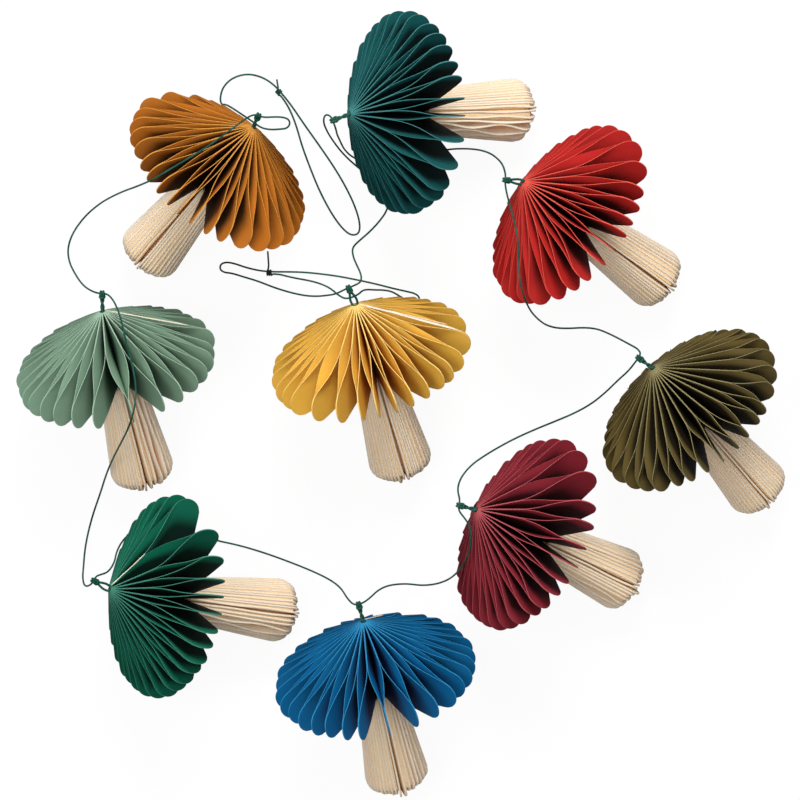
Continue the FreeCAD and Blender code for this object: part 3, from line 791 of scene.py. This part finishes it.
# %% Make the mushrooms
CAP_PLEATS = 32
STEM_PLEATS = 27
CAP_SEED = 10
STEM_SEED = 40
for number, name in enumerate(PAPERS):
    stem = STEM_FANS[name]
    faces = make_cap(name, CAP_PLEATS, CAP_SEED + number, **FANS[name])
    faces += make_stem(name, STEM_PLEATS, STEM_SEED + number, **stem)
    make_core(name, stem["openings"], stem.get("longer", 0.0))
    print(name, faces, "faces")
for tape in TAPES:
    make_tape(*tape)
print(len(TAPES), "strips of tape")

# %% [markdown]
# ## The waxed cord
#
# One cord runs from a knot round the first end loop, back through that knot, past every mushroom, to
# the second end loop and its knot. It is thin, limp and waxed, so it lies on the table in easy curves
# and climbs over the caps. The points are the control points of one smooth NURBS spline, which comes
# near them but cuts each corner, as a limp cord does. They are given in millimetres, and one without
# a height lies on the table. Where the route names a mushroom, the cord makes a short run through the
# eye of that hanger, and where it names a knot, through that knot. The number is the way through. The
# second run through the yellow mushroom's hanger lies nearer to the cap, and its third value is its
# distance from the hanger's root.

# %% Cord route
CORD = 1.0 * MM
ON_TABLE = 0.6  # the height of the cord's middle where it lies on the table, in millimetres
CORD_ROUTE = [
    # loop A, from its knot
    (-65.7, 170.6, 1.7), (-62.2, 164.6, 0.9), (-58.9, 156.2), (-55.8, 145), (-51, 132.1),
    (-46, 119.8), (-39.5, 107.5), (-33.7, 99.3), (-28.6, 94.9), (-23.9, 95.6), (-23.2, 101),
    (-25.3, 109.1), (-29.7, 119.2), (-36.7, 131.5), (-45.7, 144.7), (-54.7, 157.3),
    (-61.1, 166.8, 1.1),
    ("end_knot_a", +1),
    # from the knot to ochre
    (-77.3, 183.3, 0.9), (-86, 185.6), (-94.7, 183.3), (-100.1, 178), (-101.7, 171.8),
    (-100.9, 168, 2.3), (-98.4, 168, 10.5), (-94.3, 165.4, 24), (-87.8, 160.7, 39),
    (-82.2, 156.7, 51), (-77.6, 153, 62), (-72.2, 151.7, 70.5), (-66.7, 151.9, 75.5),
    (-63.4, 152.2, 76.4), (-61.4, 154.4, 76.7), (-62, 157.2, 76.9), (-65.5, 158.5, 76.6),
    (-70.5, 158.6, 76.3),
    ("ochre", -1),
    # over the ochre cap
    (-87.3, 156.5, 80), (-94.9, 150.6, 82.5), (-105.2, 142.7, 89), (-116, 135.7, 95),
    (-125.7, 129.8, 100), (-135.6, 123.8, 99), (-144.8, 120.2, 88), (-153.2, 118.1, 66),
    (-161.4, 115.5, 38), (-168.9, 112.2, 14), (-177.2, 105.8, 1.6), (-184, 96.8), (-187.1, 87.9),
    (-186.1, 80, 3), (-182.5, 73.6, 17), (-178, 67.7, 38), (-173.6, 64.1, 58),
    ("sage", +1),
    # over the sage cap
    (-159, 58.1, 73.5), (-156.1, 52.3, 76.5), (-153.8, 45.1, 79), (-151.5, 34.6, 84.5),
    (-148.5, 24.7, 91), (-145.8, 13.7, 97.5), (-145.4, 4.4, 103), (-146.7, -4.4, 103.5),
    (-149.7, -12.6, 96), (-153.9, -19.8, 78), (-158.9, -27.7, 52), (-164.1, -37.3, 25),
    (-168.6, -49.8, 7), (-172.8, -61.1, 1.2), (-175.9, -72.8), (-177.3, -82.3, 6),
    (-177.1, -90.2, 26), (-176.9, -95.9, 46), (-175.1, -100.5, 62),
    ("dark_green", +1),
    (-166.8, -93.8, 66), (-162.2, -92.5, 56.5), (-159.2, -87.3, 44), (-158.8, -81.8, 26),
    (-156.2, -76.1, 10), (-151.8, -71.6, 2), (-144.3, -68), (-138.1, -65), (-121.3, -70),
    (-105.6, -75.6), (-91.6, -78.4), (-76.5, -82.9), (-62.5, -88), (-50.1, -92.9, 4),
    (-39.9, -97.4, 18), (-33.6, -101.6, 40), (-30.2, -106.7, 60),
    ("blue", +1),
    (-17.2, -106.3, 62), (-13.6, -103.1, 46.5), (-9.2, -101, 30), (-3.7, -100.1, 15),
    (3.6, -100, 6), (11.4, -101.1, 4.5), (20.3, -99.9, 16), (28, -96.1, 36), (33.4, -89.6, 56),
    (36.9, -82.8, 66), (38.5, -75, 68), (37.7, -66.7, 68.5), (34.7, -62.3, 69.5),
    ("burgundy", +1),
    (30.6, -46.4, 64), (32.9, -39.9, 50), (38.6, -33.4, 34), (45.9, -28.5, 20), (54.4, -23.5, 9),
    (64, -18.5, 2), (75.2, -13.5), (86.4, -9), (97.1, -4.5, 1.5), (106.4, 0.8, 10),
    (113.8, 7.2, 26), (120, 13.8, 44.5), (125.3, 18.8, 61),
    ("olive", +1),
    (130.2, 31.1, 65.5), (126.2, 33.5, 52), (120.5, 37, 35), (114.3, 40.4, 18), (108.7, 42.7, 7),
    (101.5, 43.3, 2), (93.7, 42.8), (86.4, 43, 3), (80.6, 44.6, 13), (76.7, 47, 29),
    (73.9, 49.3, 45), (71.5, 51.6, 60.5), (68.8, 55.9, 75.2), (66.2, 62.7, 78.6), (64.6, 71, 78),
    (64.4, 81.5, 77), (64.1, 92, 74.5), (61.9, 102.5, 72), (59.2, 111.3, 71),
    ("red", +1),
    (55.9, 132.7, 66), (52.2, 137.2, 54), (47.7, 140.4, 40), (42, 142.3, 25), (35.4, 143.2, 11),
    (27.1, 143.2, 3), (15.9, 141.3), (3.6, 138.8), (-9.3, 136.9), (-19.4, 136), (-27.2, 138.2, 3),
    (-32.1, 142.5, 16), (-34.2, 146.7, 34), (-35.8, 149.8, 50), (-36.1, 151.6, 62),
    ("teal", +1),
    (-42.3, 160.6, 64), (-43.5, 156.6, 52.5), (-41.1, 151.2, 40), (-37.6, 146.1, 28),
    (-33.3, 140.8, 16.5), (-28, 135.8, 7), (-22.2, 131.2, 2), (-16, 125.9), (-10.4, 120.3),
    (-7.1, 114.7), (-8.2, 108.6), (-12.7, 102.4), (-18.3, 96.5), (-23.9, 91.8), (-27.8, 87.9, 0.8),
    (-27.1, 82.8, 2.8), (-25.2, 78.4, 12.5), (-23.2, 74.2, 29), (-22.2, 70.7, 45),
    (-22.7, 67.7, 59),
    ("yellow", -1),
    (-36.2, 61.3, 62), (-41.4, 60.7, 46), (-47.1, 60.4, 29), (-53.4, 60.9, 14), (-61.3, 62.6, 4),
    (-70.9, 65.5), (-80.4, 69.3), (-88.2, 71.6), (-95.2, 73.8), (-99.2, 74.1), (-101.8, 75.8),
    (-101.4, 78.8), (-98.3, 80), (-93.6, 79.2), (-86.6, 76.7, 0.8),
    ("end_knot_b", -1),
    # loop B
    (-63, 74.5, 1.1), (-54.7, 74.3), (-44.6, 73.3), (-34.5, 71.9), (-24.4, 69.9), (-14.3, 67.7),
    (-4.8, 65.2), (3, 63.5), (7.6, 62.4), (10.2, 60.2), (9.3, 57.1), (5.6, 56.9), (0.2, 60, 3),
    (-5.1, 63.3, 12), (-10.1, 64, 27), (-14.8, 63.8, 42), (-18.9, 63.9, 56), (-21.7, 63.2, 65),
    ("yellow", -1, 5),
    (-34.8, 60.4, 69.5), (-38.4, 63.7, 65), (-42.4, 66.1, 53), (-47.5, 68.1, 38), (-52.7, 69.5, 22),
    (-58.2, 70.6, 10), (-64.4, 72, 3.6), (-68.6, 73.2, 1.9),
]

# %% [markdown]
# ## Where the hangers and the end knots are
#
# A hanger is a doubled cord that comes out of the cap's tip. It points from its root in the tip to its
# eye, which is the farthest part of its node. Each end knot lies on the table. A `Spot` is a middle
# with three directions: out along the piece, to its side, and up. Small shapes are written in
# millimetres along those directions, so that one description fits every hanger and both knots.

# %% Hanger and knot frames
class Spot:
    """A place on the cord, with its directions out, side and up."""

    def __init__(self, middle, out):
        self.middle = middle
        self.out = out / np.linalg.norm(out)
        up = UP - self.out * self.out[2]
        self.up = up / np.linalg.norm(up)
        self.side = np.cross(self.out, self.up)

    def at(self, out, side, up):
        """A point given in millimetres along the three directions."""
        return self.middle + (out * self.out + side * self.side + up * self.up) * MM


ROOT_DEPTH = 1.5 * MM
EYE = 10.6 * MM
EYE_RUN = 2.6  # half the length of the cord's straight runs, in millimetres
SECOND_RUN = 3.5
KNOT_RUN = 3.9
STRAND = 0.65  # the two strands in a knot lie this far to either side of its middle
KNOT_END = -1.95
KNOT_HEIGHT = 1.9
FARTHEST_PART = 1.0 * MM


def hanger_spot(name):
    """The eye of a hanger, with the direction out of the cap's tip."""
    root = MUSHROOMS[name].tip + MUSHROOMS[name].axis * ROOT_DEPTH
    points = middle_and_points(f"{name}_hanger")[1]
    away = np.linalg.norm(points - root, axis=1)
    out = points[away > away.max() - FARTHEST_PART].mean(0) - root
    out /= np.linalg.norm(out)
    return Spot(root + out * EYE, out)


def level(degrees):
    """A direction along the table, turned from +X towards +Y."""
    return np.array([math.cos(math.radians(degrees)), math.sin(math.radians(degrees)), 0.0])


def route_point(x, y, height=ON_TABLE):
    """A point given in millimetres, on the table if it has no height."""
    return np.array([x, y, height]) * MM


HANGERS = {name: hanger_spot(name) for name in PAPERS}
END_KNOTS = {
    "end_knot_a": Spot(route_point(-68.7, 175.2, KNOT_HEIGHT), level(130.4)),
    "end_knot_b": Spot(route_point(-74.1, 74, KNOT_HEIGHT), level(177.5)),
}


def run(name, way, from_root=None):
    """The two ends of the cord's short run through a hanger or an end knot."""
    if name in END_KNOTS:
        return [END_KNOTS[name].at(way * x, STRAND, 0) for x in (-KNOT_RUN, KNOT_RUN)]
    if from_root is None:
        along, reach = 0, EYE_RUN
    else:
        along, reach = from_root - EYE / MM, SECOND_RUN
    return [HANGERS[name].at(along, way * x, 0) for x in (-reach, reach)]


cord_points = [END_KNOTS["end_knot_a"].at(KNOT_END, -STRAND, 0)]
for stop in CORD_ROUTE:
    cord_points += run(*stop) if isinstance(stop[0], str) else [route_point(*stop)]
cord_points.append(END_KNOTS["end_knot_b"].at(KNOT_END, -STRAND, 0))
print(len(cord_points), "points along the cord")


# %% [markdown]
# ## Cord finish
#
# The cord is dark green thread, soaked in wax, so it is smooth and hardly shiny. It is far too thin for
# its twist to show, and two noises are enough: a fine one for the fibres, and a coarse one for the
# dye, which is a little paler in places. In two places the cord is coloured almost black. Each is
# given by its middle, how far it is quite black, and how far the black reaches at all.

# %% Waxed cord finish
THREAD = 2200.0
DYE = 90.0
THREAD_RELIEF = 0.08 * MM
DARK_PLACES = [
    ((-0.092, 0.084, 0.002), 10.5 * MM, 13 * MM),
    ((-0.033, 0.150, 0.055), 12 * MM, 14 * MM),
]


def waxed_cord(name, colour, dark_places=()):
    """Waxed thread, darker near some places."""
    finish = Finish(name)
    place = finish.place()
    fibres = finish.noise(THREAD, 3.0, place)
    cloud = finish.noise(DYE, 2.0, place)
    tone = finish.blend(cloud.ramp(0.35, 0.7), linear(colour), linear(lighter(colour, 0.12)))
    tone = finish.blend(fibres.ramp(0.4, 0.7) * 0.35, tone, linear(darker(colour, 0.3)))
    for middle, inner, outer in dark_places:
        away = finish.node("ShaderNodeVectorMath", {"operation": "DISTANCE"}, {0: place, 1: middle})[0]
        tone = finish.blend(1.0 - away.ramp(inner, outer), tone, linear(CORD_BLACK))
    relief = finish.bump(fibres, THREAD_RELIEF)
    finish.set(Base_Color=tone, Roughness=0.6, Specular_IOR_Level=0.1, Normal=relief)
    return finish.material


WAXED = waxed_cord("waxed_cord", CORD_GREEN, DARK_PLACES)
BLACK_WAX = waxed_cord("black_waxed_cord", CORD_BLACK)
print(len(DARK_PLACES), "dark places along the cord")

# %% [markdown]
# ## The main cord
#
# Blender sweeps a round profile along a curve, so the cord stays a curve with its thickness as a
# number, instead of a row of cylinders. The swept tube has ten flats, which makes it a little thinner
# than a round cord, and its radius is slightly more than half the cord's thickness to make up for it.

# %% The main cord
CURVE_STEPS = 6
PROFILE_STEPS = 3
TUBE_RADIUS = 0.52  # as a share of the thickness


def smooth_curve(name, points, thickness, finish):
    """A round cord along one smooth spline."""
    data = bpy.data.curves.new(name, "CURVE")
    data.dimensions = "3D"
    data.resolution_u = CURVE_STEPS
    data.bevel_depth = TUBE_RADIUS * thickness
    data.bevel_resolution = PROFILE_STEPS
    data.use_fill_caps = True
    spline = data.splines.new("NURBS")
    spline.points.add(len(points) - 1)
    for point, place in zip(spline.points, points):
        point.co = (*place, 1.0)
    spline.order_u = 3
    spline.use_endpoint_u = True
    data.materials.append(finish)
    piece = bpy.data.objects.new(name, data)
    scene.collection.objects.link(piece)
    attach(piece, "root")
    return piece


cord = smooth_curve("garland_cord", cord_points, CORD, WAXED)
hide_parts("main_cord")
print("cord,", CORD / MM, "mm thick")

# %% [markdown]
# ## Hangers
#
# A hanger is one piece of waxed cord, a little thicker than the main one, and doubled. Its two strands
# come out of the tip side by side, mostly twisted round each other, and its closed end is hitched
# round the main cord: over it, back under it, and across the two strands. `HITCH_PATH` is one half of
# that way, in millimetres out, to the side and up from the middle of the main cord, and the other half
# is its mirror image. The strands of three hangers aren't twisted but bow apart, by as many
# millimetres as `OPEN_HANGERS` says.

# %% Hitches
HITCH_PATH = [
    (-2.8, 0.6, 0.25), (-0.6, 0.6, 1.0), (1.0, 0.6, 0.9), (1.25, 0.7, -0.7),
    (-0.6, 0.9, -1.1), (-1.9, 1.3, -0.3), (-2.2, 1.15, 1.0), (-2.3, 0.4, 1.45),
]
HANGER_CORD = 1.3 * MM
OPEN_HANGERS = {"yellow": 1.1, "dark_green": 1.0, "red": 0.7}
STRAND_STEPS = 10
STRAND_START = -12.0
STRAND_LENGTH = 8.6
STRAND_AWAY = 0.62


def strand(opened, turns):
    """One strand from inside the tip to the hitch, twisted round the middle or bowed outwards."""
    places = []
    for step in range(STRAND_STEPS + 1):
        share = step / STRAND_STEPS
        turn = 2 * math.pi * turns * (share - 1)
        away = STRAND_AWAY + opened * math.sin(math.pi * share)
        out = STRAND_START + STRAND_LENGTH * share
        places.append((out, away * math.cos(turn), away * math.sin(turn)))
    return places


def hanger_path(opened):
    """From the tip to the hitch along one strand, and back again along the other."""
    first = strand(opened, 0 if opened else 1)
    second = [(out, -side, -up) for out, side, up in first]
    mirrored = [(out, -side, up) for out, side, up in HITCH_PATH]
    return first + HITCH_PATH + mirrored[::-1] + second[::-1]


for name, spot in HANGERS.items():
    places = [spot.at(*place) for place in hanger_path(OPEN_HANGERS.get(name, 0.0))]
    hanger = smooth_curve(f"{name}_doubled_hanger", places, HANGER_CORD, WAXED)
    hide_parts(f"{name}_hanger")
print(len(HANGERS), "hangers")

# %% [markdown]
# ## End knots
#
# Each end loop is closed by a knot: the cord's end is wound rather more than twice round the two
# strands, and its cut tip stands out to one side. The winding is a short helix, a little wider than it
# is high. The tip is given by its direction, its length, and its height at a few places along it.

# %% Knots
KNOT_CORD = 0.95 * CORD
KNOT_START = (-2.1, -STRAND, 0.1)
TURN_STEPS = 12
WOUND_STEPS = 28
WOUND_FROM = -1.25
WOUND_PITCH = 1.1
WOUND_WIDE = 1.45
WOUND_HIGH = 1.08
TAIL_HEIGHTS = ((0.28, 1.15), (0.5, 0.9), (0.75, 0.2), (1.0, -0.6))


def end_knot(name, tail_turn, reach, finish):
    """The winding and the cut tip of one end knot."""
    spot = END_KNOTS[name]
    places = [spot.at(*KNOT_START)]
    for step in range(WOUND_STEPS):
        turn = 2 * math.pi * step / TURN_STEPS
        out = WOUND_FROM + WOUND_PITCH * step / TURN_STEPS
        places.append(spot.at(out, -WOUND_WIDE * math.cos(turn), WOUND_HIGH * math.sin(turn)))
    for share, height in TAIL_HEIGHTS:
        places.append(spot.middle + level(tail_turn) * reach * share + UP * height * MM)
    knot = smooth_curve(f"{name}_wound", places, KNOT_CORD, finish)
    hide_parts(name)
    return knot


knots = [
    end_knot("end_knot_a", 99.5, 7.0 * MM, WAXED),
    end_knot("end_knot_b", 94.0, 12.0 * MM, BLACK_WAX),
]
print(len(knots), "end knots")

# %% [markdown]
# ## Table, light and camera
#
# The garland lies on a plain white table. The table's own shader takes the light and shadow, and for
# rays from the camera, from a reflection or through a thin sheet most of it is a plain white glow, so
# that it reads as a white background and still keeps a trace of each shadow. One large softbox stands
# beyond the far side, which lights the sheets that face it and leaves the gaps behind them dark. A
# weaker one stands to the left, and the room fills in the rest. A long lens far above sees the garland
# almost without perspective.

# %% Stage
TABLE_SIZE = 6.0
TABLE_DROP = 0.2 * MM
WHITE_SHARE = 0.94
bpy.ops.object.select_all(action="DESELECT")
bpy.ops.mesh.primitive_plane_add(size=TABLE_SIZE, location=(0, 0, -TABLE_DROP))
table = bpy.context.object
table.name = "table"
white = Finish("table_white")
ray = white.nodes.new("ShaderNodeLightPath")
camera_ray = Value(white, ray.outputs["Is Camera Ray"])
glossy_ray = Value(white, ray.outputs["Is Glossy Ray"])
through_ray = Value(white, ray.outputs["Is Transmission Ray"])
rays = {0: camera_ray + glossy_ray + through_ray, 1: 1.0}
share = white.node("ShaderNodeMath", {"operation": "MINIMUM"}, rays)[0]
white.set(Base_Color=white.blend(share, TABLE_LIT, TABLE_SEEN), Roughness=0.9)
glow = white.node("ShaderNodeEmission", None, {"Color": WHITE, "Strength": 1.0})[0]
white.mix_shaders(share * WHITE_SHARE, glow)
table.data.materials.append(white.material)
print("table", TABLE_SIZE, "m wide")

# %% Lights
def soft_light(name, place, size, watts):
    """A round lamp that points at the middle of the table."""
    data = bpy.data.lights.new(name, "AREA")
    data.shape = "DISK"
    data.size = size
    data.energy = watts
    lamp = bpy.data.objects.new(name, data)
    lamp.location = place
    lamp.rotation_euler = (-Vector(place)).to_track_quat("-Z", "Y").to_euler()
    scene.collection.objects.link(lamp)
    print(name, watts, "W")


soft_light("main_softbox", place=(0.1, 1.3, 1.45), size=0.9, watts=35.5)
soft_light("side_softbox", place=(-0.7, -0.1, 1.7), size=1.0, watts=14)
ROOM_LIGHT = 0.45
world = bpy.data.worlds.new("studio")
world.use_nodes = True
room = world.node_tree.nodes["Background"]
room.inputs["Color"].default_value = WHITE
room.inputs["Strength"].default_value = ROOM_LIGHT
scene.world = world

# %% Camera
VIEW_HEIGHT = 4.5
VIEW_WIDTH = 0.448
VIEW_MIDDLE = (-0.0009, 0.00275)
SENSOR = 36.0
FARTHEST = 20
lens = bpy.data.cameras.new("camera")
lens.sensor_width = SENSOR
lens.lens = SENSOR * VIEW_HEIGHT / VIEW_WIDTH
lens.clip_end = FARTHEST
camera = bpy.data.objects.new("camera", lens)
camera.location = (*VIEW_MIDDLE, VIEW_HEIGHT)
scene.collection.objects.link(camera)
scene.camera = camera
scene.view_settings.view_transform = "Standard"
print("camera", VIEW_HEIGHT, "m above the table, lens", round(lens.lens, 1), "mm")
